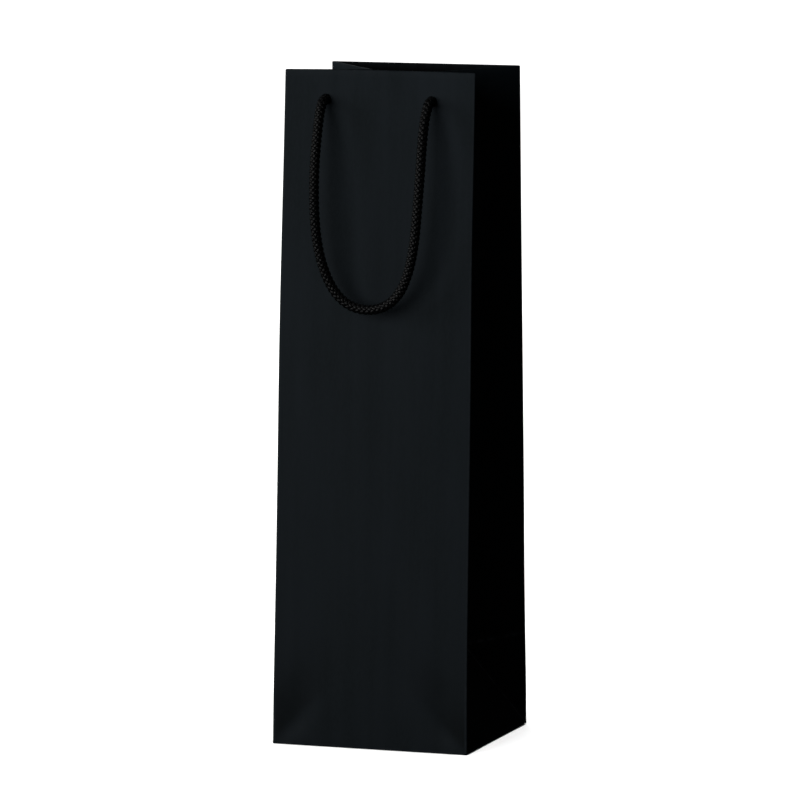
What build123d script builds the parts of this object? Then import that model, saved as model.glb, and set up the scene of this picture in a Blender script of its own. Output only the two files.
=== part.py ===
from build123d import *

import os
from math import pi, radians, sqrt, tan

# Wine gift bag: a tall block-bottom carrier bag of folded paper with a braided cord handle.
# The photograph shows no cord at the back, so the back has the holes for its handle and no handle.
# Frame: millimetres, +Z up, origin at the middle of the base, the front panel faces -Y.

os.makedirs("parts", exist_ok=True)

# ---------------------------------------------------------------- driving dimensions
WIDTH = 108.5            # across the front panel
BASE_DEPTH = 105.0       # front to back at the base, and the flat width of each side
MOUTH_DEPTH = 76.0       # front to back at the mouth, with the sides pinched in
HEIGHT = 360.0
UPRIGHT = 20.0           # the walls rise straight from the base up to here
PAPER = 0.3
GLUE = 0.05              # gap left between glued layers
CARD = 0.8               # stiffening card in the turned-in top
BOARD = 1.5              # loose board on the bottom
HEM = 45.0               # depth of the turned-in top
CREASE_DIP = 2.2         # how far the pinched middle crease sinks below the rim
SEAM = 16.0              # width of the glued lap
SEAM_FOOT = 3.5          # height of the lap's lower end, just above the board
CARD_SHORT = 3.5         # the card and its hem stop this far short of the side folds
CARD_TOP = 1.0           # the card's upper edge is this far below the rim
CARD_FOOT = 2.0          # and its lower edge this far above the hem's

FLAP_LAP = 10.0          # each long bottom flap passes the middle by this much
FLAP_TAPER = 9.0         # and narrows by this much on each side
TUCK_DEPTH = 34.0        # reach of the short bottom flaps
TUCK_TAPER = 30.0
BOARD_GAP = 1.2          # clearance round the bottom board
BOARD_CORNER = 1.5

HOLE_X = 29.5            # each handle hole from the middle
HOLE_Z = 345.0
HOLE_DIAMETER = 6.2
CORD = 5.5
SWING_OUT = 12.0         # the loop's swing axis from the panel's face at the holes
SWING_DOWN = 2.0         # and below the holes
STUB_OUT = 0.6           # the fixed end stands this proud of the panel
LOOP_OUT = 2.0           # and the swinging loop begins here
KNOT_DIAMETER = 15.0
KNOT_DEPTH = 11.0
KNOT_ROUNDING = 4.6
KNOT_TAIL = 20.0         # the knot's loose end hangs this far below the hole
KNOT_BEHIND = 2.15       # the knot's near side is this far in from the panel's face
ARC_SHARE = 0.45         # how much of the shorter run beside it an arc of the cord takes

HALF_WIDTH = WIDTH / 2
HALF_BASE = BASE_DEPTH / 2
HALF_MOUTH = MOUTH_DEPTH / 2
STATIONS = [0.0, UPRIGHT, 30.0, 45.0, 65.0, 95.0, 140.0, 210.0, 290.0, HEIGHT]

# how far each layer's outside face is in from the outside of the bag
LAYER = PAPER + GLUE
HEM_OUTER = LAYER + CARD + GLUE
LAP_HEM_OUTER = 2 * LAYER
HEM_START = HEM_OUTER + LAYER


def half_depth(z):
    """Half the bag's depth at a height: straight at the base, then leaning in to the mouth."""
    rise = max(0.0, z - UPRIGHT) / (HEIGHT - UPRIGHT)
    return HALF_BASE + (HALF_MOUTH - HALF_BASE) * rise


def pinch(z):
    """How far the middle crease is pushed in, so that each half side keeps its flat width."""
    return sqrt(max(0.0, HALF_BASE**2 - half_depth(z) ** 2))


def heights(low, high):
    """The stations between two heights, with both ends."""
    return [low] + [z for z in STATIONS if low < z < high] + [high]


PANEL_AT_HOLES = half_depth(HOLE_Z)


# ---------------------------------------------------------------- shared operations
def finish(piece, name):
    """Labels a sub-part and writes it."""
    piece.part.label = name
    export_step(piece.part, f"parts/{name}.step")


def mirrored(piece, about):
    """The same sub-part on the other side of a plane."""
    with BuildPart() as copy:
        mirror(piece.part, about=about)
    return copy


def at_back(piece):
    return mirrored(piece, Plane.XZ)


def at_left(piece):
    return mirrored(piece, Plane.YZ)


# ---------------------------------------------------------------- wall layers
def front_wall(half_width, outer, thickness, low, high, holes=True):
    """A flat layer of the front; outer is its outside face's distance in from the bag's face."""
    with BuildPart() as wall:
        for z in heights(low, high):
            face = -half_depth(z) + outer
            with BuildSketch(Plane.XY.offset(z)):
                with BuildLine():
                    Polyline(
                        (-half_width, face),
                        (half_width, face),
                        (half_width, face + thickness),
                        (-half_width, face + thickness),
                        close=True,
                    )
                make_face()
        loft(ruled=True)
        if holes:
            with BuildSketch(Plane.XZ.offset(HALF_BASE)):
                with Locations((-HOLE_X, HOLE_Z), (HOLE_X, HOLE_Z)):
                    Circle(HOLE_DIAMETER / 2)
            extrude(amount=-HALF_BASE, mode=Mode.SUBTRACT)
    return wall


def side_wall(outer, low, start=LAYER, width=None):
    """A paper layer of the right side's front half, from the front fold to the middle crease.

    outer is its outside face's distance in from the side's own face, low is its lower end, start is
    where it begins behind the bag's front face, and width is its extent from there, or None to
    reach the middle crease. Its rim sinks from the fold to the crease.
    """
    inner = outer + PAPER
    with BuildPart() as wall:
        for z in heights(low, HEIGHT):
            h = half_depth(z)
            p = pinch(z)
            first = -h + start
            last = -GLUE / 2 if width is None else first + width * h / HALF_BASE
            corners = []
            for depth, y in ((outer, first), (outer, last), (inner, last), (inner, first)):
                along = (y + h + depth * p / HALF_BASE) / h
                corners.append((HALF_WIDTH - depth * h / HALF_BASE - p * along, y))
            with BuildSketch(Plane.XY.offset(z)):
                with BuildLine():
                    Polyline(*corners, close=True)
                make_face()
        loft(ruled=True)
        fold = Vector(HALF_WIDTH, -HALF_MOUTH, HEIGHT)
        crease = Vector(HALF_WIDTH - pinch(HEIGHT), 0, HEIGHT - CREASE_DIP)
        rim = (crease - fold).normalized()
        inward = Vector(-HALF_MOUTH, -pinch(HEIGHT), 0).normalized()
        split(bisect_by=Plane(origin=fold, x_dir=rim, z_dir=rim.cross(inward)), keep=Keep.BOTTOM)
    return wall


front_panel = front_wall(HALF_WIDTH, 0.0, PAPER, 0.0, HEIGHT)
finish(front_panel, "front_panel")
finish(at_back(front_panel), "back_panel")

card_half_width = HALF_WIDTH - CARD_SHORT
front_top_card = front_wall(card_half_width, LAYER, CARD, HEIGHT - HEM + CARD_FOOT, HEIGHT - CARD_TOP)
finish(front_top_card, "front_top_card")
finish(at_back(front_top_card), "back_top_card")

front_hem = front_wall(card_half_width, HEM_OUTER, PAPER, HEIGHT - HEM, HEIGHT)
finish(front_hem, "front_hem")
finish(at_back(front_hem), "back_hem")

right_gusset_front = side_wall(0.0, 0.0)
finish(right_gusset_front, "right_gusset_front")
finish(at_back(right_gusset_front), "right_gusset_back")
finish(at_left(right_gusset_front), "left_gusset_front")
finish(at_left(at_back(right_gusset_front)), "left_gusset_back")

right_hem_front = side_wall(LAYER, HEIGHT - HEM, start=HEM_START)
finish(right_hem_front, "right_gusset_hem_front")
finish(at_back(right_hem_front), "right_gusset_hem_back")
finish(at_left(right_hem_front), "left_gusset_hem_front")

# the glued lap lies between the left side's back half and its hem
lap_hem = side_wall(LAP_HEM_OUTER, HEIGHT - HEM, start=HEM_START)
finish(at_left(at_back(lap_hem)), "left_gusset_hem_back")
seam_lap = side_wall(LAYER, SEAM_FOOT, start=HEM_START, width=SEAM)
finish(at_left(at_back(seam_lap)), "side_seam_flap")


# ---------------------------------------------------------------- block bottom
flap_x = HALF_WIDTH - LAYER
flap_y = HALF_BASE - LAYER


def bottom_flap(level, corners):
    """A flat paper flap of the bottom, with its outside face at a height."""
    with BuildPart() as flap:
        with BuildSketch(Plane.XY.offset(level)):
            with BuildLine():
                Polyline(*corners, close=True)
            make_face()
        extrude(amount=PAPER)
    return flap


# wide at the fold and narrower at the free edge
long_flap = [
    (-flap_x, -flap_y),
    (flap_x, -flap_y),
    (flap_x - FLAP_TAPER, FLAP_LAP),
    (-flap_x + FLAP_TAPER, FLAP_LAP),
]
short_flap = [
    (flap_x, -flap_y),
    (flap_x, flap_y),
    (flap_x - TUCK_DEPTH, flap_y - TUCK_TAPER),
    (flap_x - TUCK_DEPTH, -flap_y + TUCK_TAPER),
]
finish(bottom_flap(0.0, long_flap), "front_bottom_flap")
finish(at_back(bottom_flap(LAYER, long_flap)), "back_bottom_flap")
right_tuck = bottom_flap(2 * LAYER, short_flap)
finish(right_tuck, "right_bottom_tuck")
finish(at_left(right_tuck), "left_bottom_tuck")

with BuildPart() as base_board:
    with BuildSketch(Plane.XY.offset(3 * LAYER + GLUE)):
        RectangleRounded(WIDTH - 2 * BOARD_GAP, BASE_DEPTH - 2 * BOARD_GAP, BOARD_CORNER)
    extrude(amount=BOARD)
finish(base_board, "base_board")

# ---------------------------------------------------------------- handle cord
# The route runs from the left knot round to the right knot, as (x, out from the panel's face at the
# holes, below the holes). The loop stands off the panel because the cord leaves the holes square.
FRONT_ROUTE = [
    (-29.5, -2.0, 0.0),
    (-29.5, 4.1, 0.1),
    (-29.5, 9.0, 5.0),
    (-29.3, 12.6, 12.2),
    (-29.3, 15.7, 21.9),
    (-29.4, 18.3, 34.2),
    (-29.1, 20.3, 48.8),
    (-28.3, 21.1, 63.4),
    (-26.8, 20.9, 76.6),
    (-23.9, 19.5, 89.2),
    (-19.0, 17.9, 100.4),
    (-11.3, 17.0, 107.9),
    (-0.8, 16.8, 110.5),
    (10.0, 16.9, 108.2),
    (18.3, 17.8, 100.6),
    (23.5, 19.5, 89.2),
    (26.6, 20.8, 76.4),
    (28.1, 21.0, 63.4),
    (29.0, 20.2, 48.6),
    (29.5, 18.2, 34.2),
    (29.4, 15.6, 22.0),
    (29.3, 12.5, 12.3),
    (29.5, 9.0, 5.0),
    (29.5, 4.1, 0.1),
    (29.5, -2.0, 0.0),
]


def arc_radii(points):
    """The largest arc that each corner's two runs allow."""
    radii = []
    for before, corner, after in zip(points, points[1:], points[2:]):
        turn = (corner - before).get_angle(after - corner)
        shorter = min((corner - before).length, (after - corner).length)
        radii.append(ARC_SHARE * shorter / tan(radians(turn) / 2))
    return radii


def cord_tube(route):
    """The whole cord between its knots."""
    points = [Vector(x, -PANEL_AT_HOLES - out, HOLE_Z - below) for x, out, below in route]
    radii = arc_radii(points)
    with BuildPart() as tube:
        with BuildLine() as path:
            FilletPolyline(*points, radius=radii)
        with BuildSketch(Plane(origin=points[0], z_dir=points[1] - points[0])):
            Circle(CORD / 2)
        sweep(path=path.wires()[0])
    length = path.wires()[0].length
    filled = tube.part.volume / (pi * CORD**2 / 4 * length)
    print("cord length", round(length, 1), "volume over section times length", round(filled, 4))
    print("  radii", [round(r, 1) for r in radii])
    return tube


def loop_of(tube):
    """The stretch of the cord that swings: all that stands off the panel."""
    with BuildPart() as loop:
        add(tube.part)
        split(bisect_by=Plane.XZ.offset(PANEL_AT_HOLES + LOOP_OUT), keep=Keep.TOP)
    return loop


def fixed_end(tube, side):
    """The stretch of the cord that stays in one of its holes; side is -1 left and 1 right."""
    with BuildPart() as end:
        add(tube.part)
        split(bisect_by=Plane.XZ.offset(PANEL_AT_HOLES + STUB_OUT), keep=Keep.BOTTOM)
        split(bisect_by=Plane.YZ, keep=Keep.TOP if side > 0 else Keep.BOTTOM)
    return end


def knot(side):
    """A stopper knot behind a front hole: a rounded ball of turns with its loose end hanging."""
    x = side * HOLE_X
    middle = -PANEL_AT_HOLES + KNOT_BEHIND + KNOT_DEPTH / 2
    with BuildPart() as ball:
        with BuildSketch(Plane.XY.offset(HOLE_Z)):
            with Locations((x, middle)):
                RectangleRounded(KNOT_DIAMETER, KNOT_DEPTH, KNOT_ROUNDING)
                Rectangle(
                    KNOT_DIAMETER,
                    2 * KNOT_DEPTH,
                    align=(Align.MAX if side > 0 else Align.MIN, Align.CENTER),
                    mode=Mode.SUBTRACT,
                )
        revolve(axis=Axis((x, 0, HOLE_Z), (0, 1, 0)))
        with BuildSketch(Plane.XY.offset(HOLE_Z - KNOT_TAIL)):
            with Locations((x, middle)):
                Circle(CORD / 2)
        extrude(amount=KNOT_TAIL)
    return ball


cord = cord_tube(FRONT_ROUTE)
finish(loop_of(cord), "front_handle_cord")
for end_name, side in (("left", -1), ("right", 1)):
    finish(fixed_end(cord, side), f"front_{end_name}_cord_end")
    finish(knot(side), f"front_{end_name}_knot")

print("swing axis", round(PANEL_AT_HOLES + SWING_OUT, 3), "out from the middle, at", HOLE_Z - SWING_DOWN)
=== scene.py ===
from math import cos, pi, radians, sin

import bpy
import numpy as np
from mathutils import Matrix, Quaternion, Vector


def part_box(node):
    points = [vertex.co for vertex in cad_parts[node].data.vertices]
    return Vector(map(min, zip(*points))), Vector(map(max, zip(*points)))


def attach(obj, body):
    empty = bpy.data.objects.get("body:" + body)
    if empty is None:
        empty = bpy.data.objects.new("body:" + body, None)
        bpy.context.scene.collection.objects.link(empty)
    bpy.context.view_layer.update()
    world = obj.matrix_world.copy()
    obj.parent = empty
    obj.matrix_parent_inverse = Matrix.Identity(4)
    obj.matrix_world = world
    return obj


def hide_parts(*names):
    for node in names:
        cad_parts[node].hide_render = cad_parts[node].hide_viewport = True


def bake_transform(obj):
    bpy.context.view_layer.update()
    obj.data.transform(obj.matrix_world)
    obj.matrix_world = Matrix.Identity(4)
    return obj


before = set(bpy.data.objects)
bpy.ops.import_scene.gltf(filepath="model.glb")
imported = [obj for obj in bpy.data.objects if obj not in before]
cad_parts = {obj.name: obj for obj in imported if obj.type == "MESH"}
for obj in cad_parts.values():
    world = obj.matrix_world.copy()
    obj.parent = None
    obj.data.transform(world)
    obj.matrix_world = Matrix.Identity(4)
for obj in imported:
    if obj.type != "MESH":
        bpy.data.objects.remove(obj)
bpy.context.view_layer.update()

# ---------------------------------------------------------------- sizes, from the frame
panel_low, panel_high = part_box("front_panel")
hem_low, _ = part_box("front_hem")
knot_low, knot_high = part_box("front_right_knot")

PAPER = 0.0003                            # thickness
HALF_WIDTH = panel_high.x
HEIGHT = panel_high.z
HALF_BASE = -panel_low.y                  # half the depth at the base
HALF_MOUTH = -panel_high.y + PAPER        # half the depth at the mouth
UPRIGHT = 0.020                           # the walls rise straight up to here
UPRIGHT_EASE = 0.012                      # and then lean in through a bend about this long
HEM = HEIGHT - hem_low.z                  # depth of the turned-in top
CREASE_DIP = 0.0022                       # the right middle crease's top is this far below the rim
LEFT_CREASE_DIP = 0.0016                  # and the left one's
RIM_RISE = 0.0004                         # the front's rim is this much higher in its middle
BASE_CREASE = 0.0505                      # height of the crease left by the folded base
BASE_PINCH = 0.0190                       # how far the sides are pushed in at that crease
BASE_PINCH_REACH = 0.060                  # and how far above it that still shows
BASE_SPREAD = 0.0004                      # each fold stands this far out of straight at the base
TAPER = 0.00095                           # and comes in by this much up to the rim

HOLE_X = (knot_low.x + knot_high.x) / 2
HOLE_Z = knot_high.z - (knot_high.x - knot_low.x) / 2
HOLE_RADIUS = 0.0031
HOLE_SIDES = 40
CUT_OUTSIDE = 0.010                       # the holes' cutters reach this far out of the mouth
CUT_INSIDE = 0.006                        # and this far in
CORD = 0.0055

FOLD = 0.0006                             # reach of a fold's rounding to each side
BASE_TURN = 0.0002                        # radius of the fold round the base
BOARD_EDGE = 0.0003                       # rounding of the base board's edges
OUTER_MID = PAPER / 2                     # middle of the outside layer, in from the face
PANEL_HEM_MID = 0.00135                   # middle of the turned-in layer behind the card
SIDE_HEM_MID = 0.0005                     # and at the sides, where there is no card
SEAM_HEM_MID = 0.00085                    # and over the glued lap
SEAM_MID = 0.0005                         # middle of the lap itself
SEAM_START = 0.0016                       # the lap's free space beside the corner fold
SEAM = 0.016                              # and its width
SEAM_TOP = 0.0015                         # it ends this far below the rim
SEAM_FIRST = 3                            # and starts this many rows of paper above the base
SEAM_COLUMNS = 10
SEAM_ROWS = 90                            # from the base crease up

# the six upright folds, from the front left one round, each with its side and its end of the bag
CORNERS = ((-1, -1), (1, -1), (1, 0), (1, 1), (-1, 1), (-1, 0))
FRONT_LEFT, FRONT_RIGHT, RIGHT_CREASE, BACK_RIGHT, BACK_LEFT, LEFT_CREASE = range(6)
LEFT_FOLDS = (FRONT_LEFT, BACK_LEFT, LEFT_CREASE)
MIDDLE_CREASES = (RIGHT_CREASE, LEFT_CREASE)

# The stretch of paper after each fold: half a side runs in to its middle crease or out from it.
# The sixth stretch, out from the left crease, needs no name.
FRONT, RIGHT_IN, RIGHT_OUT, BACK, LEFT_IN = range(5)
PANELS = (FRONT, BACK)
INWARD = (RIGHT_IN, LEFT_IN)

# three corner folds aren't quite straight: each leans by so much and bows by so much
LEAN = {FRONT_LEFT: 0.0006, FRONT_RIGHT: 0.0004, BACK_RIGHT: 0.0004}
RIGHT_LEAN_TOP = 0.060                    # the front right fold leans only below this height
BOW = {                                   # (depth, height of its middle, reach)
    FRONT_LEFT: (0.0006, 0.225, 0.075),
    FRONT_RIGHT: (0.0004, 0.262, 0.060),
    BACK_RIGHT: (0.0003, 0.075, 0.050),
}


def half_depth(z):
    """Half the bag's depth at a height: straight at the base, then leaning in to the mouth."""
    above = z - UPRIGHT
    rise = (above + np.sqrt(above**2 + UPRIGHT_EASE**2)) / 2 / (HEIGHT - UPRIGHT)
    return HALF_BASE + (HALF_MOUTH - HALF_BASE) * rise


def swell(value, middle, reach):
    """A smooth rise to 1 round a middle value and down again."""
    return np.exp(-(((value - middle) / reach) ** 2))


def fold_shift(k, z):
    """How far fold k strays sideways from a straight upright: the bag narrows a little towards
    the mouth, and three of its corner folds lean and bow a little of their own."""
    side = -1 if k in LEFT_FOLDS else 1
    taper = side * (BASE_SPREAD - TAPER * z / HEIGHT)
    if k not in BOW:
        return taper
    share = {
        FRONT_LEFT: z / HEIGHT,
        FRONT_RIGHT: max(0.0, 1 - z / RIGHT_LEAN_TOP),
        BACK_RIGHT: (z / HEIGHT) ** 3,
    }
    depth, middle, reach = BOW[k]
    return taper + LEAN[k] * share[k] - depth * float(swell(z, middle, reach))


def pinch(z):
    """How far the middle crease of a side is pushed in."""
    flat = np.sqrt(np.maximum(0.0, HALF_BASE**2 - half_depth(z) ** 2))
    low = np.sqrt(HALF_BASE**2 - half_depth(BASE_CREASE) ** 2)
    extra = (BASE_PINCH - low) * swell(z, BASE_CREASE, BASE_PINCH_REACH)
    return flat + extra


PANEL_AT_HOLES = float(half_depth(HOLE_Z))


# ---------------------------------------------------------------- mesh and node helpers
def new_object(name, vertices, faces, smooth=True):
    mesh = bpy.data.meshes.new(name)
    mesh.from_pydata([tuple(v) for v in vertices], [], faces)
    mesh.update()
    if smooth:
        mesh.shade_smooth()
    obj = bpy.data.objects.new(name, mesh)
    bpy.context.scene.collection.objects.link(obj)
    return obj


def apply_modifiers(obj):
    """The object's mesh as its modifiers leave it."""
    graph = bpy.context.evaluated_depsgraph_get()
    mesh = bpy.data.meshes.new_from_object(obj.evaluated_get(graph), depsgraph=graph)
    obj.modifiers.clear()
    obj.data = mesh
    return obj


class Nodes:
    """A material's node tree, built by short calls."""

    def __init__(self, name):
        self.material = bpy.data.materials.new(name)
        self.material.use_nodes = True
        self.tree = self.material.node_tree
        self.shader = self.tree.nodes["Principled BSDF"]

    def set(self, **values):
        for key, value in values.items():
            self.shader.inputs[key.replace("_", " ")].default_value = value

    def node(self, kind, inputs=None, **settings):
        made = self.tree.nodes.new(kind)
        for key, value in settings.items():
            setattr(made, key, value)
        for key, value in (inputs or {}).items():
            socket = made.inputs[key]
            if isinstance(value, bpy.types.NodeSocket):
                self.tree.links.new(value, socket)
            else:
                socket.default_value = value
        return made

    def link(self, output, name):
        self.tree.links.new(output, self.shader.inputs[name])

    def place(self, scale):
        """Object coordinates, stretched by a scale for each axis."""
        where = self.node("ShaderNodeTexCoord").outputs["Object"]
        return self.node("ShaderNodeMapping", {"Vector": where, "Scale": scale}).outputs["Vector"]

    def noise(self, vector, scale, detail=3.0, roughness=0.5):
        inputs = {"Vector": vector, "Scale": scale, "Detail": detail, "Roughness": roughness}
        return self.node("ShaderNodeTexNoise", inputs).outputs["Fac"]

    def ramp(self, value, low, high, start=0.0, end=1.0):
        """A number taken from one range to another."""
        inputs = {"Value": value, "From Min": low, "From Max": high, "To Min": start, "To Max": end}
        return self.node("ShaderNodeMapRange", inputs).outputs["Result"]

    def mix(self, factor, a, b):
        made = self.node("ShaderNodeMix", data_type="RGBA")
        for socket, value in ((made.inputs[0], factor), (made.inputs[6], a), (made.inputs[7], b)):
            if isinstance(value, bpy.types.NodeSocket):
                self.tree.links.new(value, socket)
            else:
                socket.default_value = value
        return made.outputs[2]

    def maths(self, operation, a, b=0.0):
        return self.node("ShaderNodeMath", {0: a, 1: b}, operation=operation).outputs[0]

    def attribute(self, name):
        return self.node("ShaderNodeAttribute", attribute_name=name).outputs["Fac"]

    def bump(self, height, distance, strength=1.0, normal=None):
        inputs = {"Height": height, "Distance": distance, "Strength": strength}
        if normal is not None:
            inputs["Normal"] = normal
        return self.node("ShaderNodeBump", inputs).outputs["Normal"]


# ---------------------------------------------------------------- materials
def black_paper():
    """Matt dyed paper: a fine tooth, faint mottling and upright streaks, folds worn a little
    lighter, painted shade low down, painted shade and painted light beside the base corners'
    valleys, and a duller inside painted dark as shade."""
    m = Nodes("black_paper")
    m.link(m.ramp(m.attribute("inside"), 0.0, 1.0, 0.10, 0.03), "Specular IOR Level")
    even = m.place((1.0, 1.0, 1.0))
    fibre = m.noise(m.place((1.0, 1.0, 0.35)), 900.0, 4.0, 0.6)
    tooth = m.noise(even, 2600.0, 3.0, 0.55)
    cloud = m.noise(m.place((1.0, 1.0, 0.45)), 34.0, 4.0, 0.55)
    streak = m.noise(m.place((1.0, 1.0, 0.03)), 120.0, 2.0, 0.5)
    tone = m.ramp(m.maths("ADD", cloud, m.maths("MULTIPLY", streak, 0.5)), 0.5, 1.0)
    body = m.mix(tone, (0.0062, 0.0118, 0.0152, 1), (0.0160, 0.0228, 0.0296, 1))
    speck = m.ramp(fibre, 0.35, 0.7, 0.0, 0.30)
    body = m.mix(speck, body, (0.0180, 0.0256, 0.0318, 1))
    # painted shade: the colour darkens towards the bottom, patchily with the cloud
    height = m.node("ShaderNodeSeparateXYZ", {0: even}).outputs["Z"]
    low_down = m.ramp(height, 0.0, 0.36, 0.48, 0.0)
    painted_shade = m.maths("MULTIPLY", low_down, m.ramp(cloud, 0.2, 0.8, 0.7, 1.0))
    body = m.mix(painted_shade, body, (0.0024, 0.0040, 0.0052, 1))
    # painted shade: the inside's colour goes nearly black, as the shade inside the bag
    inner = m.maths("MULTIPLY", m.attribute("inside"), 0.90)
    body = m.mix(inner, body, (0.0008, 0.0010, 0.0012, 1))
    # painted shade above each base corner valley's line, darker and more teal, and painted light
    # below it
    patchy = m.ramp(m.noise(even, 60.0, 4.0, 0.6), 0.30, 0.70, 0.35, 0.80)
    valley_shading = m.maths("MULTIPLY", m.attribute("crumpled"), patchy)
    painted_valley_shade = m.maths("MAXIMUM", valley_shading, 0.0)
    body = m.mix(painted_valley_shade, body, (0.0000, 0.0018, 0.0022, 1))
    painted_valley_light = m.maths("MAXIMUM", m.maths("MULTIPLY", valley_shading, -1.0), 0.0)
    body = m.mix(painted_valley_light, body, (0.0220, 0.0310, 0.0380, 1))
    fold = m.attribute("fold")
    worn = m.maths("MULTIPLY", fold, m.ramp(m.noise(even, 240.0), 0.35, 0.75, 0.30, 1.0))
    rubbed = m.maths("MULTIPLY", m.maths("MINIMUM", worn, 1.0), 0.8)
    body = m.mix(rubbed, body, (0.036, 0.043, 0.049, 1))
    cracks = m.ramp(m.noise(even, 160.0, 4.0, 0.6), 0.42, 0.62)
    cracked = m.maths("MULTIPLY", m.ramp(fold, 1.0, 2.0), cracks)
    m.link(m.mix(cracked, body, (0.17, 0.19, 0.21, 1)), "Base Color")
    m.link(m.ramp(m.maths("ADD", cloud, worn), 0.3, 1.5, 0.56, 0.72), "Roughness")
    fine = m.bump(tooth, 0.00002, 0.5)
    m.link(m.bump(fibre, 0.00003, 0.5, fine), "Normal")
    return m.material


def grey_card():
    """Recycled card: flecked grey fibres."""
    m = Nodes("grey_card")
    m.set(Specular_IOR_Level=0.25)
    even = m.place((1.0, 1.0, 1.0))
    fleck = m.ramp(m.noise(even, 700.0, 5.0, 0.7), 0.40, 0.65)
    m.link(m.mix(fleck, (0.020, 0.020, 0.021, 1), (0.034, 0.033, 0.032, 1)), "Base Color")
    m.link(m.ramp(fleck, 0.0, 1.0, 0.70, 0.85), "Roughness")
    m.link(m.bump(m.noise(even, 1500.0), 0.00005, 0.6), "Normal")
    return m.material


def braided_cord():
    """Dyed polyester yarn: fine filaments along each strand, with a soft gloss."""
    m = Nodes("braided_cord")
    m.set(Specular_IOR_Level=0.20)
    where = m.node("ShaderNodeUVMap", uv_map="strand").outputs["UV"]
    stretched = m.node("ShaderNodeMapping", {"Vector": where, "Scale": (14.0, 900.0, 1.0)})
    along = stretched.outputs["Vector"]
    filament = m.node(
        "ShaderNodeTexWave",
        {"Vector": along, "Scale": 1.0, "Distortion": 1.6, "Detail": 2.0, "Detail Scale": 1.0},
        bands_direction="DIAGONAL",
    ).outputs["Fac"]
    tone = m.noise(m.place((1.0, 1.0, 1.0)), 420.0, 3.0)
    lit = m.ramp(filament, 0.1, 0.9)
    colour = m.mix(lit, (0.0012, 0.0013, 0.0015, 1), (0.0030, 0.0033, 0.0037, 1))
    colour = m.mix(m.ramp(tone, 0.35, 0.75, 0.0, 0.5), colour, (0.0045, 0.0050, 0.0056, 1))
    m.link(colour, "Base Color")
    m.link(m.ramp(filament, 0.0, 1.0, 0.38, 0.28), "Roughness")
    m.link(m.bump(filament, 0.00003, 0.6), "Normal")
    return m.material


def pale_floor():
    """A pale, quite matt studio floor."""
    m = Nodes("pale_floor")
    m.set(Specular_IOR_Level=0.0, Roughness=1.0)
    cloud = m.noise(m.place((1.0, 1.0, 1.0)), 6.0)
    m.link(m.mix(cloud, (0.86, 0.86, 0.86, 1), (0.88, 0.88, 0.88, 1)), "Base Color")
    return m.material


def coat(node, material):
    """Gives a carried-over CAD node its material."""
    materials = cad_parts[node].data.materials
    materials.clear()
    materials.append(material)


# ---------------------------------------------------------------- handle cord
# The route of part.py, in metres: (x, out from the panel's face at the holes, below the holes).
ROUTE = [
    (-0.0295, -0.0020, 0.0000),
    (-0.0295, 0.0041, 0.0001),
    (-0.0295, 0.0090, 0.0050),
    (-0.0293, 0.0126, 0.0122),
    (-0.0293, 0.0157, 0.0219),
    (-0.0294, 0.0183, 0.0342),
    (-0.0291, 0.0203, 0.0488),
    (-0.0283, 0.0211, 0.0634),
    (-0.0268, 0.0209, 0.0766),
    (-0.0239, 0.0195, 0.0892),
    (-0.0190, 0.0179, 0.1004),
    (-0.0113, 0.0170, 0.1079),
    (-0.0008, 0.0168, 0.1105),
    (0.0100, 0.0169, 0.1082),
    (0.0183, 0.0178, 0.1006),
    (0.0235, 0.0195, 0.0892),
    (0.0266, 0.0208, 0.0764),
    (0.0281, 0.0210, 0.0634),
    (0.0290, 0.0202, 0.0486),
    (0.0295, 0.0182, 0.0342),
    (0.0294, 0.0156, 0.0220),
    (0.0293, 0.0125, 0.0123),
    (0.0295, 0.0090, 0.0050),
    (0.0295, 0.0041, 0.0001),
    (0.0295, -0.0020, 0.0000),
]
BRAID_PITCH = 0.011                       # one turn of a strand round the cord
STRANDS_EACH_WAY = 4
STRAND_WIDTH = 0.0020
STRAND_THICKNESS = 0.00125
STRAND_SIDES = 10
STRAND_SHIFT = 0.37                       # the strands' textures start this far apart
WAY_SHIFT = 0.19                          # and those of the two ways this far
WEAVE_DEPTH = 0.00036                     # a strand rises and dips this much as it crosses others
BRAID_STEP = 0.00027                      # between a strand's rings
CORE_STEPS = 4                            # a ring of the core stands at every fourth step
CORE_SUNK = 0.0002                        # the core's face is this far below the strands' middles


def smooth_line(points, resolution=24):
    """The smooth line that a cord follows through its route's control points."""
    curve = bpy.data.curves.new("route", "CURVE")
    curve.dimensions = "3D"
    curve.resolution_u = resolution
    spline = curve.splines.new("NURBS")
    spline.points.add(len(points) - 1)
    for point, place in zip(spline.points, points):
        point.co = (*place, 1.0)
    spline.order_u = 3
    spline.use_endpoint_u = True
    holder = bpy.data.objects.new("route", curve)
    mesh = bpy.data.meshes.new_from_object(holder)
    line = np.array([v.co for v in mesh.vertices])
    bpy.data.objects.remove(holder)
    bpy.data.meshes.remove(mesh)
    bpy.data.curves.remove(curve)
    return line


def evenly(line, step):
    """The same line with points a step apart, and each point's distance along it."""
    run = np.concatenate([[0.0], np.cumsum(np.linalg.norm(np.diff(line, axis=0), axis=1))])
    along = np.linspace(0.0, run[-1], round(run[-1] / step) + 1)
    return np.stack([np.interp(along, run, line[:, k]) for k in range(3)], axis=1), along


def unit(vectors):
    return vectors / np.linalg.norm(vectors, axis=-1, keepdims=True)


def carried_frames(points):
    """Two directions across a line at each point, carried along it without twist."""
    tangents = unit(np.gradient(points, axis=0))
    side = unit(np.cross(tangents[0], (0.3, 0.5, 0.8)))
    sides = []
    for tangent in tangents:
        side = unit(side - tangent * (side @ tangent))
        sides.append(side)
    sides = np.array(sides)
    return sides, np.cross(tangents, sides)


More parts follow.
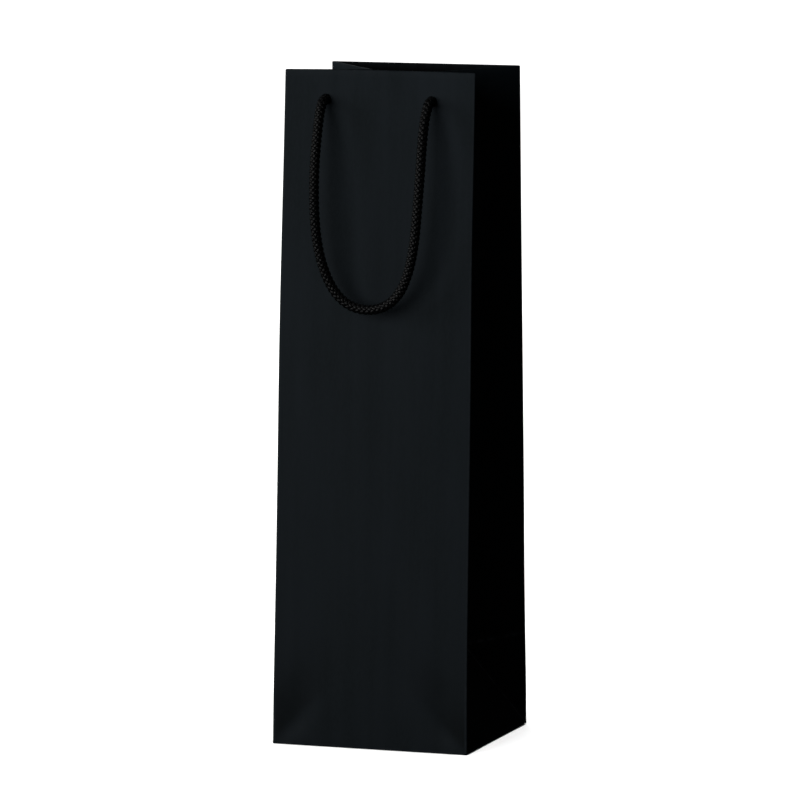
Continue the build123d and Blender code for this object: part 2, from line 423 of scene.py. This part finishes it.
def tube_faces(first, rings, sides):
    """The faces of a closed tube whose rings of vertices start at a number."""
    faces = []
    for ring in range(rings - 1):
        a = first + ring * sides
        for k in range(sides):
            n = (k + 1) % sides
            faces.append((a + k, a + n, a + sides + n, a + sides + k))
    last = first + (rings - 1) * sides
    faces.append(tuple(range(first + sides - 1, first - 1, -1)))
    faces.append(tuple(range(last, last + sides)))
    return faces


def rings_round(middles, across, out, angles):
    """A ring of points round each middle; across and out are its half-widths, as vectors."""
    return (
        middles[:, None]
        + across[:, None] * np.cos(angles)[None, :, None]
        + out[:, None] * np.sin(angles)[None, :, None]
    )


def braid(name, line, material, diameter=CORD, step=BRAID_STEP):
    """A round braid along a line: four strands each way, over and under in turn, on a soft core."""
    points, along = evenly(line, step)
    across, up = carried_frames(points)
    scale = diameter / CORD
    middle = (CORD - STRAND_THICKNESS) / 2 - WEAVE_DEPTH
    turn = 2 * pi * along / BRAID_PITCH
    angles = np.linspace(0.0, 2 * pi, STRAND_SIDES, endpoint=False)
    vertices, faces, uvs = [], [], []
    for way in (1, -1):
        for strand in range(STRANDS_EACH_WAY):
            phase = way * turn + 2 * pi * strand / STRANDS_EACH_WAY
            radius = scale * (middle + way * WEAVE_DEPTH * np.cos(STRANDS_EACH_WAY * turn))
            out = across * np.cos(phase)[:, None] + up * np.sin(phase)[:, None]
            centre = points + out * radius[:, None]
            forward = unit(np.gradient(centre, axis=0))
            out = unit(out - forward * np.sum(out * forward, axis=1)[:, None])
            width = np.cross(forward, out) * (scale * STRAND_WIDTH / 2)
            thickness = out * (scale * STRAND_THICKNESS / 2)
            rings = rings_round(centre, width, thickness, angles)
            faces += tube_faces(len(vertices), len(rings), STRAND_SIDES)
            vertices += list(rings.reshape(-1, 3))
            shift = strand * STRAND_SHIFT + (WAY_SHIFT if way > 0 else 0.0)
            turned = np.tile(angles / (2 * pi) * way, len(points))
            uvs += list(np.stack([turned, np.repeat(along, STRAND_SIDES) + shift], axis=1))
    core = scale * (middle - CORE_SUNK)
    rings = rings_round(points, across * core, up * core, angles)[::CORE_STEPS]
    faces += tube_faces(len(vertices), len(rings), STRAND_SIDES)
    vertices += list(rings.reshape(-1, 3))
    uvs += [(0.0, 0.0)] * (len(rings) * STRAND_SIDES)
    obj = new_object(name, vertices, faces)
    layer = obj.data.uv_layers.new(name="strand")
    corners = np.zeros(len(obj.data.loops), int)
    obj.data.loops.foreach_get("vertex_index", corners)
    layer.data.foreach_set("uv", np.array(uvs)[corners].ravel())
    obj.data.materials.append(material)
    return obj


# The knot is an overhand one: three lobes round an axis that runs on from the hole. The cord comes
# in along that axis and winds round it until its loose end hangs down.
KNOT_CORD = 0.0046                        # the cord is squeezed in the knot
KNOT_STEP = 0.00040                       # between a strand's rings in the knot
KNOT_RADIUS = 0.0040                      # from the axis to the middle of the winding
KNOT_WINDING = 0.0022                     # radius of the winding
KNOT_MIDDLE = 0.0066                      # from the panel's face at the holes to the knot's middle
KNOT_START = 0.0019                       # and to the point where the cord comes in
KNOT_ENTRY = 0.0015                       # the cord runs on straight for this much
KNOT_FROM = 5 * pi / 3                    # the winding runs from this angle down to 0
KNOT_POINTS = 34                          # points of its route round the axis
LOOSE_END = (                             # (sideways, inward, below the hole)
    (0.0060, 0.0050, 0.0060),
    (0.0050, 0.0052, 0.0100),
    (0.0036, 0.0056, 0.0150),
    (0.0030, 0.0062, 0.0205),
)


def knot(end, side, material):
    """The stopper knot behind a hole; side is -1 at the left and 1 at the right."""

    def place(x, inward, z):
        return (side * (HOLE_X + x), inward - PANEL_AT_HOLES, HOLE_Z + z)

    points = [place(0.0, KNOT_START, 0.0), place(0.0, KNOT_START + KNOT_ENTRY, 0.0)]
    for t in np.linspace(KNOT_FROM, 0.0, KNOT_POINTS):
        out = KNOT_RADIUS + KNOT_WINDING * cos(3 * t)
        inward = KNOT_MIDDLE + KNOT_WINDING * sin(3 * t)
        points.append(place(out * cos(2 * t), inward, out * sin(2 * t)))
    points += [place(x, inward, -below) for x, inward, below in LOOSE_END]
    line = smooth_line(points, 12)
    obj = braid(f"front_{end}_braided_knot", line, material, KNOT_CORD, KNOT_STEP)
    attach(obj, "bag")
    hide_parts(f"front_{end}_knot")
    return obj


def handle(material):
    """The handle's cord, which bends where it leaves the panel, and its two knots."""
    points = [(x, -PANEL_AT_HOLES - out, HOLE_Z - below) for x, out, below in ROUTE]
    line = smooth_line(points)
    cord = braid("front_braided_cord", line, material)
    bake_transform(cord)
    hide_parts("front_handle_cord", "front_left_cord_end", "front_right_cord_end")
    knots = [knot("left", -1, material), knot("right", 1, material)]


# ---------------------------------------------------------------- camera and lights
CAMERA_YAW = radians(18.906)              # to the right of straight in front
CAMERA_PITCH = radians(6.652)             # above level
CAMERA_ROLL = radians(0.144)
CAMERA_AIM = Vector((-0.0009, -0.0003, 0.1813))
CAMERA_DISTANCE = 3.2011
LENS = 268.55                             # millimetres
SENSOR_WIDTH = 36.0                       # millimetres
FLOOR_REACH = 40.0                        # half the floor's width
WORLD_LIGHT = 0.008


def camera():
    """The camera at the photograph's angle: a long lens, a little to the right and above."""
    level = cos(CAMERA_PITCH)
    back = Vector((sin(CAMERA_YAW) * level, -cos(CAMERA_YAW) * level, sin(CAMERA_PITCH)))
    data = bpy.data.cameras.new("camera")
    data.lens = LENS
    data.sensor_width = SENSOR_WIDTH
    data.clip_start = 0.1
    data.clip_end = 100.0
    obj = bpy.data.objects.new("camera", data)
    obj.location = CAMERA_AIM + back * CAMERA_DISTANCE
    obj.rotation_mode = "QUATERNION"
    obj.rotation_quaternion = aimed(-back) @ Quaternion((0.0, 0.0, 1.0), CAMERA_ROLL)
    bpy.context.scene.collection.objects.link(obj)
    bpy.context.scene.camera = obj


def aimed(direction):
    """The turn that points a camera or a lamp in a direction."""
    return Vector(direction).to_track_quat("-Z", "Y")


def softbox(name, place, size, power):
    """A square lamp in watts, aimed at the middle of the bag."""
    data = bpy.data.lights.new(name, "AREA")
    data.shape = "SQUARE"
    data.size = size
    data.energy = power
    obj = bpy.data.objects.new(name, data)
    obj.location = place
    obj.rotation_mode = "QUATERNION"
    obj.rotation_quaternion = aimed(Vector((0.0, 0.0, HEIGHT / 2)) - Vector(place))
    bpy.context.scene.collection.objects.link(obj)


def studio():
    """A pale floor with a lamp of its own, a soft frontal key, a lamp from the left, a weak one
    overhead and another behind, in a dim world that the camera sees as white."""
    corners = ((-1, -1), (1, -1), (1, 1), (-1, 1))
    vertices = [(x * FLOOR_REACH, y * FLOOR_REACH, 0.0) for x, y in corners]
    floor = new_object("floor", vertices, [(0, 1, 2, 3)])
    floor.data.materials.append(pale_floor())
    floor.visible_diffuse = False
    floor.visible_glossy = False
    softbox("key", (-0.95, -2.68, 0.66), size=1.9, power=28.5)
    softbox("side", (-2.50, -1.20, 0.70), size=1.2, power=16.0)
    softbox("overhead", (-0.4, -0.3, 2.8), size=0.6, power=3.0)
    softbox("behind", (-1.9, 2.3, 1.1), size=1.0, power=9.0)
    light_floor(floor)
    bpy.context.scene.world = white_world()
    bpy.context.scene.view_settings.view_transform = "Standard"


def light_floor(floor):
    """A broad sun that lights the floor alone, so that it stays evenly white."""
    lamp = bpy.data.objects.new("floor_light", bpy.data.lights.new("floor_light", "SUN"))
    lamp.data.energy = 5.0
    lamp.data.angle = radians(25)
    bpy.context.scene.collection.objects.link(lamp)
    lit = bpy.data.collections.new("floor_only")
    lit.objects.link(floor)
    lamp.light_linking.receiver_collection = lit


def white_world():
    """A world that lights the bag very little and looks white to the camera."""
    world = bpy.data.worlds.new("studio")
    world.use_nodes = True
    nodes, links = world.node_tree.nodes, world.node_tree.links
    dim = nodes["Background"]
    dim.inputs["Color"].default_value = (1.0, 1.0, 1.0, 1)
    dim.inputs["Strength"].default_value = WORLD_LIGHT
    white = nodes.new("ShaderNodeBackground")
    white.inputs["Color"].default_value = (1.0, 1.0, 1.0, 1)
    seen = nodes.new("ShaderNodeLightPath")
    both = nodes.new("ShaderNodeMixShader")
    links.new(seen.outputs["Is Camera Ray"], both.inputs[0])
    links.new(dim.outputs[0], both.inputs[1])
    links.new(white.outputs[0], both.inputs[2])
    links.new(both.outputs[0], nodes["World Output"].inputs["Surface"])
    return world


# ---------------------------------------------------------------- paper
SIDE_CELLS = 30                           # cells across half a side, and up to the base crease
PANEL_CELLS = 60                          # cells across a panel
FOLD_STEPS = 4                            # cells round a fold
BASE_STEPS = 4                            # rows round the fold at the base
WALL_ROWS = 100                           # rows from the base crease up to the rim
RIM_STEPS = 6                             # rows over the rim
HEM_ROWS = 18
RIM_ROOM = 0.004                          # from the rim to the walls' last row and the hem's first

BULGE = 0.0007                            # a panel stands out by this much in its middle
FLAT_TOP = 0.010                          # it is flat from this far below the hem's edge
VALLEY = 0.0008                           # depth of the valley beside a base corner
VALLEY_FROM_FOLD = 0.013                  # its deepest line's distance from the fold
VALLEY_ABOVE = 0.026                      # its reach above its line, and below
VALLEY_BELOW = 0.010
VALLEY_FOOT = 0.006                       # it fades out within this height of the base
PAINTED_SHADING_EDGE = 0.004                       # its painted shade and painted light blend over this much
PAINTED_SHADE_MIDDLE = 0.008                     # the painted shade is strongest this far above its line
PAINTED_SHADE_REACH = 0.022
PAINTED_LIGHT_REACH = 0.012
PAINTED_SHADING_REACH = 0.024                     # both fade out within about this of the fold
PAINTED_LIGHT_SHARE = 0.3                      # the painted light is this much as strong as the painted shade

SIDE_FLAP_LEVEL = 0.0007                  # the sides' base flaps lie this high, on the back's
BACK_FLAP_LEVEL = 0.00035                 # and the back's this high, on the front's
BASE_FOLD = 0.0004                        # reach of the corner folds at the base

# how worn the paper is: up to 1 its colour is rubbed lighter, and above 1 it is cracked
BASE_WEAR, RIM_WEAR, RIM_EDGE_WEAR = 0.7, 0.8, 0.35
FOLD_WEAR, CREASE_WEAR = 0.55, 0.7
HEM_FOLD_WEAR, HEM_CREASE_WEAR = 0.35, 0.4
BACK_LEVEL_WEAR, SIDE_LEVEL_WEAR, DIAGONAL_WEAR = 1.2, 1.8, 1.9


def relief(x, z):
    """How far a panel stands out of its plane: a soft bulge, and beside each base corner a shallow
    valley that runs up from the corner at 45 degrees, steeper below it than above."""
    across = np.clip(np.abs(x) / HALF_WIDTH, 0.0, 1.0)
    up = np.clip(z / (HEIGHT - HEM - FLAT_TOP), 0.0, 1.0)
    bulge = BULGE * (1 - across**2) * np.sin(pi * up) ** 1.2
    from_fold = HALF_WIDTH - np.abs(x)
    share = (from_fold / VALLEY_FROM_FOLD) ** 2
    above = z - from_fold
    reach = np.where(above > 0, VALLEY_ABOVE, VALLEY_BELOW)
    valley = VALLEY * share * np.exp(1 - share) * swell(above, 0.0, reach)
    return bulge - valley * (1 - swell(z, 0.0, VALLEY_FOOT))


def crumple(x, z):
    """Painted shade and painted light beside the base corners' valleys: painted shade above each
    one's line, painted light below.
    """
    from_fold = HALF_WIDTH - np.abs(x)
    above = z - from_fold
    painted_shade = np.clip(above / PAINTED_SHADING_EDGE, 0.0, 1.0) * swell(above, PAINTED_SHADE_MIDDLE, PAINTED_SHADE_REACH)
    painted_valley_light = np.clip(-above / PAINTED_SHADING_EDGE, 0.0, 1.0) * swell(above, 0.0, PAINTED_LIGHT_REACH)
    return swell(from_fold, 0.0, PAINTED_SHADING_REACH) * (painted_shade - PAINTED_LIGHT_SHARE * painted_valley_light)


def row_corners(z, panel_mid, side_mids):
    """The six fold points of the paper's middle at a height; side_mids are the depths of the
    right front, right back, left back and left front half sides."""
    right_front, right_back, left_back, left_front = side_mids
    mids = (left_front, right_front, right_front, right_back, left_back, left_back)
    h = float(half_depth(z))
    p = float(pinch(z)) if z >= BASE_CREASE else BASE_PINCH * z / BASE_CREASE
    length = (h * h + p * p) ** 0.5
    corners = []
    for k, ((side, end), mid) in enumerate(zip(CORNERS, mids)):
        pushed_in = p * panel_mid / h if end else p
        x = HALF_WIDTH - pushed_in - mid * length / h
        corners.append((side * x + fold_shift(k, z), end * (h - panel_mid)))
    return np.array(corners)


def side_line(a, b, z):
    """Points and flat distances along half a side from fold a to fold b; below the base crease
    the diagonal that runs to the base's corner bends it."""
    if z >= BASE_CREASE or z <= 0.0:
        return [0.0, HALF_BASE], [a, b]
    inward = abs(b[1]) < abs(a[1])
    outer, middle = (a, b) if inward else (b, a)
    bend = np.array([middle[0], outer[1] * (1 - z / BASE_CREASE)])
    flat = HALF_BASE * z / BASE_CREASE
    return [0.0, flat if inward else HALF_BASE - flat, HALF_BASE], [a, bend, b]


def row(z, panel_mid=OUTER_MID, side_mids=(OUTER_MID,) * 4, fold=FOLD):
    """One ring of paper at a height: for each fold its rounding, then the stretch to the next."""
    corners = row_corners(z, panel_mid, side_mids)
    lines = []
    for k in range(6):
        a, b = corners[k], corners[(k + 1) % 6]
        if k in PANELS:
            lines.append(([0.0, 2 * HALF_WIDTH], [a, b], PANEL_CELLS))
        else:
            lines.append((*side_line(a, b, z), SIDE_CELLS))

    def at(line, flat):
        marks, places, _ = line
        return np.array([np.interp(flat, marks, [q[i] for q in places]) for i in range(2)])

    points = []
    for k in range(6):
        before, after = lines[k - 1], lines[k]
        first, corner, last = at(before, before[0][-1] - fold), corners[k], at(after, fold)
        for step in range(FOLD_STEPS + 1):
            t = step / FOLD_STEPS
            points.append(first * (1 - t) ** 2 + corner * 2 * t * (1 - t) + last * t**2)
        for cell in range(1, after[2]):
            points.append(at(after, after[0][-1] * cell / after[2]))
    return np.array(points)


def column_kinds():
    """For each column of the paper: its fold or stretch, and its share of the way along it."""
    kinds = []
    for k in range(6):
        kinds += [("fold", k, step / FOLD_STEPS) for step in range(FOLD_STEPS + 1)]
        cells = PANEL_CELLS if k in PANELS else SIDE_CELLS
        kinds += [("stretch", k, cell / cells) for cell in range(1, cells)]
    return kinds


COLUMNS = column_kinds()


def column_share(of_stretch):
    """A value for each column from one for each stretch, mixed across the folds between them."""
    values = []
    for kind, k, share in COLUMNS:
        if kind == "stretch":
            values.append(of_stretch[k])
        else:
            values.append(of_stretch[k - 1] * (1 - share) + of_stretch[k] * share)
    return np.array(values)


def rim_height():
    """The rim's height at each column: it sinks towards the middle crease of each side, and the
    front's rises a little in its middle."""
    dips = (0.0, CREASE_DIP, CREASE_DIP, 0.0, LEFT_CREASE_DIP, LEFT_CREASE_DIP)
    heights = []
    for kind, k, share in COLUMNS:
        if kind == "fold":
            sunk = dips[k] if k in MIDDLE_CREASES else 0.0
        elif k == FRONT:
            sunk = -RIM_RISE * 4 * share * (1 - share)
        else:
            sunk = dips[k] * (share if k in INWARD else 1 - share)
        heights.append(HEIGHT - sunk)
    return np.array(heights)


def shape_paper(ring, z):
    """A ring of the paper with each point's own height, moved by the panels' relief."""
    points = np.column_stack([ring, np.broadcast_to(z, (len(ring),))])
    for point, (kind, k, _) in zip(points, COLUMNS):
        if kind == "stretch" and k in PANELS:
            point[1] += (-1 if k == FRONT else 1) * relief(point[0], point[2])
    return points


def dip(rim, z):
    """How far a level row of the paper sinks at each column, over the bag's top fifth."""
    share = np.clip((z / HEIGHT - 0.8) / 0.2, 0, 1)
    return (HEIGHT - rim) * share * share * (3 - 2 * share)


def thicken(obj, material):
    """Gives a sheet its thickness and its material, as real geometry."""
    obj.data.materials.append(material)
    solid = obj.modifiers.new("thickness", "SOLIDIFY")
    solid.thickness = PAPER
    solid.offset = 0.0
    solid.use_even_offset = False
    return apply_modifiers(obj)


def point_values(obj, **layers):
    """Gives a mesh named values at its points, for its material."""
    for name, values in layers.items():
        layer = obj.data.attributes.new(name, "FLOAT", "POINT")
        layer.data.foreach_set("value", np.asarray(values, np.float32))


def cut_holes(obj):
    """Cuts the four round handle holes, two through each panel and its hem."""
    angles = np.linspace(0.0, 2 * pi, HOLE_SIDES, endpoint=False)
    for side in (-1, 1):
        vertices, faces = [], []
        for x in (-HOLE_X, HOLE_X):
            first = len(vertices)
            for y in (side * (HALF_MOUTH + CUT_OUTSIDE), side * (HALF_MOUTH - CUT_INSIDE)):
                for a in angles:
                    vertices.append((x + HOLE_RADIUS * cos(a), y, HOLE_Z + HOLE_RADIUS * sin(a)))
            faces += tube_faces(first, 2, len(angles))
        cutter = new_object("cutter", vertices, faces, smooth=False)
        cutter.data.validate()
        bpy.context.view_layer.update()
        cut = obj.modifiers.new("holes", "BOOLEAN")
        cut.object = cutter
        cut.operation = "DIFFERENCE"
        cut.solver = "EXACT"
        apply_modifiers(obj)
        bpy.data.objects.remove(cutter)


def seam_lap(material):
    """The glued lap of the side seam, between the left side's back half and its hem."""
    flats = np.linspace(SEAM_START, SEAM_START + SEAM, SEAM_COLUMNS)
    low = [BASE_CREASE * k / SIDE_CELLS for k in range(SEAM_FIRST, SIDE_CELLS)]
    levels = low + list(np.linspace(BASE_CREASE, HEIGHT - SEAM_TOP, SEAM_ROWS))
    vertices, faces = [], []
    for z in levels:
        corners = row_corners(z, OUTER_MID, (SEAM_MID,) * 4)
        marks, places = side_line(corners[BACK_LEFT], corners[LEFT_CREASE], z)
        sunk = dip(HEIGHT - LEFT_CREASE_DIP * flats / HALF_BASE, z)
        for flat, fall in zip(flats, sunk):
            x, y = (np.interp(flat, marks, [q[i] for q in places]) for i in range(2))
            vertices.append((x, y, z - fall))
    across = len(flats)
    for r in range(len(levels) - 1):
        for c in range(across - 1):
            a = r * across + c
            faces.append((a, a + 1, a + across + 1, a + across))
    obj = new_object("side_seam_lap", vertices, faces)
    point_values(obj, fold=np.zeros(len(vertices)), inside=np.ones(len(vertices)))
    thicken(obj, material)
    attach(obj, "bag")
    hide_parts("side_seam_flap")


def paper_bag(material):
    """The whole bag as one folded sheet: base fold, outside, turned-over rim and turned-in hem."""
    side_hems = (SIDE_HEM_MID, SIDE_HEM_MID, SEAM_HEM_MID, SIDE_HEM_MID)
    stretch_hems = (PANEL_HEM_MID, *side_hems[:2], PANEL_HEM_MID, *side_hems[2:])
    turn_radius = column_share([(mid - OUTER_MID) / 2 for mid in stretch_hems])
    rim = rim_height()
    count = len(COLUMNS)
    rings, worn, inside = [], [], []

    def add_ring(ring, z, wear, inner):
        rings.append(shape_paper(ring, z))
        worn.append(np.broadcast_to(wear, (count,)))
        inside.append(np.full(count, inner))

    # round the base's fold
    flap_level = column_share(
        [0.0, SIDE_FLAP_LEVEL, SIDE_FLAP_LEVEL, BACK_FLAP_LEVEL, SIDE_FLAP_LEVEL, SIDE_FLAP_LEVEL]
    )
    for step in range(BASE_STEPS):
        angle = pi / 2 * step / BASE_STEPS
        inward = OUTER_MID + BASE_TURN * (1 - sin(angle))
        up = OUTER_MID + flap_level + BASE_TURN * (1 - cos(angle))
        add_ring(row(0.0, inward, (inward,) * 4, BASE_FOLD), up, BASE_WEAR, 0.0)

    # up the outside; at each row below the level crease, the slanting one crosses a new column
    is_crease = np.array([float(kind == "fold" and k in MIDDLE_CREASES) for kind, k, _ in COLUMNS])
    is_fold = np.array([float(kind == "fold") for kind, _, _ in COLUMNS]) - is_crease
    first_low = len(rings)
    crease_row = first_low + SIDE_CELLS - 1
    low = [BASE_CREASE * k / SIDE_CELLS for k in range(1, SIDE_CELLS + 1)]
    for z in low + list(np.linspace(BASE_CREASE, HEIGHT - RIM_ROOM, WALL_ROWS)[1:]):
        crease_wear = CREASE_WEAR if z > BASE_CREASE else 0.0
        add_ring(row(z), z - dip(rim, z), is_fold * FOLD_WEAR + is_crease * crease_wear, 0.0)

    # over the rim and down the hem
    for step in range(RIM_STEPS + 1):
        angle = pi * step / RIM_STEPS
        share = (1 - cos(angle)) / 2
        panel = OUTER_MID + (PANEL_HEM_MID - OUTER_MID) * share
        sides = tuple(OUTER_MID + (mid - OUTER_MID) * share for mid in side_hems)
        up = rim - OUTER_MID - turn_radius + turn_radius * sin(angle)
        wear = RIM_WEAR if 0 < step < RIM_STEPS else RIM_EDGE_WEAR
        add_ring(row(HEIGHT, panel, sides), up, wear, share)
    for z in np.linspace(HEIGHT - RIM_ROOM, HEIGHT - HEM, HEM_ROWS):
        wear = is_fold * HEM_FOLD_WEAR + is_crease * HEM_CREASE_WEAR
        add_ring(row(z, PANEL_HEM_MID, side_hems), z - dip(rim, z), wear, 1.0)

    vertices = np.concatenate(rings)
    wear = np.concatenate(worn)
    faces = []
    for r in range(len(rings) - 1):
        for c in range(count):
            n = (c + 1) % count
            quad = (r * count + c, r * count + n, (r + 1) * count + n, (r + 1) * count + c)
            faces += split_on_diagonal(quad, r - first_low + 1, COLUMNS[c])

    # crease lines of the folded base: level round the back, slanting down at the sides
    for c, (kind, k, share) in enumerate(COLUMNS):
        if k in (BACK, LEFT_IN) or (k == RIGHT_OUT and kind == "stretch"):
            wear[crease_row * count + c] = BACK_LEVEL_WEAR if k == BACK else SIDE_LEVEL_WEAR
        if kind == "stretch" and k not in PANELS:
            rows_up = diagonal_row(k, share)
            wear[(first_low + rows_up - 1) * count + c] = DIAGONAL_WEAR

    obj = new_object("paper_bag", vertices, faces)
    on_panel = [float(kind == "stretch" and k in PANELS) for kind, k, _ in COLUMNS]
    # the panels' painted shade and painted light beside the base corners' valleys
    crumpled = np.tile(on_panel, len(rings)) * crumple(vertices[:, 0], vertices[:, 2])
    point_values(obj, fold=wear, inside=np.concatenate(inside), crumpled=crumpled)
    thicken(obj, material)
    cut_holes(obj)
    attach(obj, "bag")
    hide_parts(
        "front_panel",
        "back_panel",
        "right_gusset_front",
        "right_gusset_back",
        "left_gusset_front",
        "left_gusset_back",
        "front_hem",
        "back_hem",
        "right_gusset_hem_front",
        "right_gusset_hem_back",
        "left_gusset_hem_front",
        "left_gusset_hem_back",
    )


def diagonal_row(k, share):
    """The row where the slanting base crease crosses a column of half side k."""
    cell = round(share * SIDE_CELLS)
    return cell if k in INWARD else SIDE_CELLS - cell


def split_on_diagonal(quad, level, column):
    """A cell of the paper, cut in two where the slanting base crease runs through it; level is the
    row at its foot, and column is the one at its left."""
    a, b, c, d = quad
    kind, k, share = column
    if kind == "stretch" and k not in PANELS and 0 < level < SIDE_CELLS:
        if k in INWARD and diagonal_row(k, share) == level:
            return [(a, b, c), (a, c, d)]
        if k not in INWARD and diagonal_row(k, share) == level + 1:
            return [(a, b, d), (b, c, d)]
    return [quad]


# ---------------------------------------------------------------- build
camera()
studio()
handle(braided_cord())
paper_material = black_paper()
paper_bag(paper_material)
seam_lap(paper_material)
for name in ("front_bottom_flap", "back_bottom_flap", "left_bottom_tuck", "right_bottom_tuck"):
    coat(name, paper_material)
card_material = grey_card()
for name in ("front_top_card", "back_top_card", "base_board"):
    coat(name, card_material)
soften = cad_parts["base_board"].modifiers.new("soft_edges", "BEVEL")
soften.width = BOARD_EDGE
soften.segments = 2
